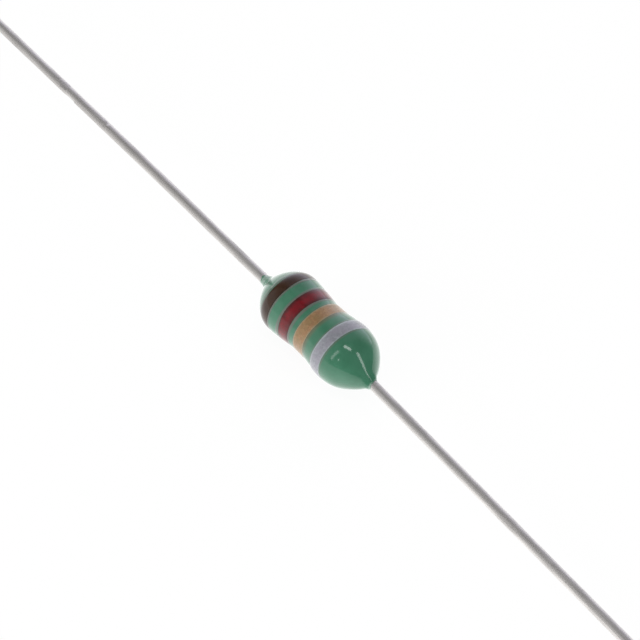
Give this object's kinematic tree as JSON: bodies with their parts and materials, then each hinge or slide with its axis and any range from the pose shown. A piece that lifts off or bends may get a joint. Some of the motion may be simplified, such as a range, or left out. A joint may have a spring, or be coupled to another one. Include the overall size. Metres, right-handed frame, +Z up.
{
  "type": "axial inductor",
  "caption": "Axial-lead inductor: a wound ferrite core in a glossy green dipped coat with painted colour bands and a tinned wire lead at each end.",
  "frame": {"origin": "on the ground under the middle of the core, which is the bottom centre of the bounding box; the part lies on its side on two coated bulges", "axes": "+X along the core's axis towards the longer cone and the bent lead; +Z up; +Y across"},
  "size_m": [0.071, 0.0042, 0.0042],
  "materials": {
    "epoxy_coat": "glossy dipped epoxy with soft undulations",
    "paint_brown": "glossy band paint",
    "paint_red": "glossy band paint",
    "paint_gold": "metallic flake band paint",
    "paint_silver": "metallic flake band paint",
    "tinned_copper": "bright tin plate, drawn lengthwise",
    "ferrite": "dark ground ceramic",
    "enamelled_copper": "clear enamel over copper",
    "solder": "dull bright solder",
    "cement": "cured adhesive"
  },
  "bodies": {
    "root": {"epoxy_coating": "epoxy_coat", "band_brown": "paint_brown", "band_red": "paint_red", "band_gold": "paint_gold", "band_silver": "paint_silver", "lead_wire_a": "tinned_copper", "lead_wire_b": "tinned_copper", "drum_core": "ferrite", "winding": "enamelled_copper", "solder_joint_a": "solder", "solder_joint_b": "solder", "lead_cement_a": "cement", "lead_cement_b": "cement"}
  },
  "joints": []
}
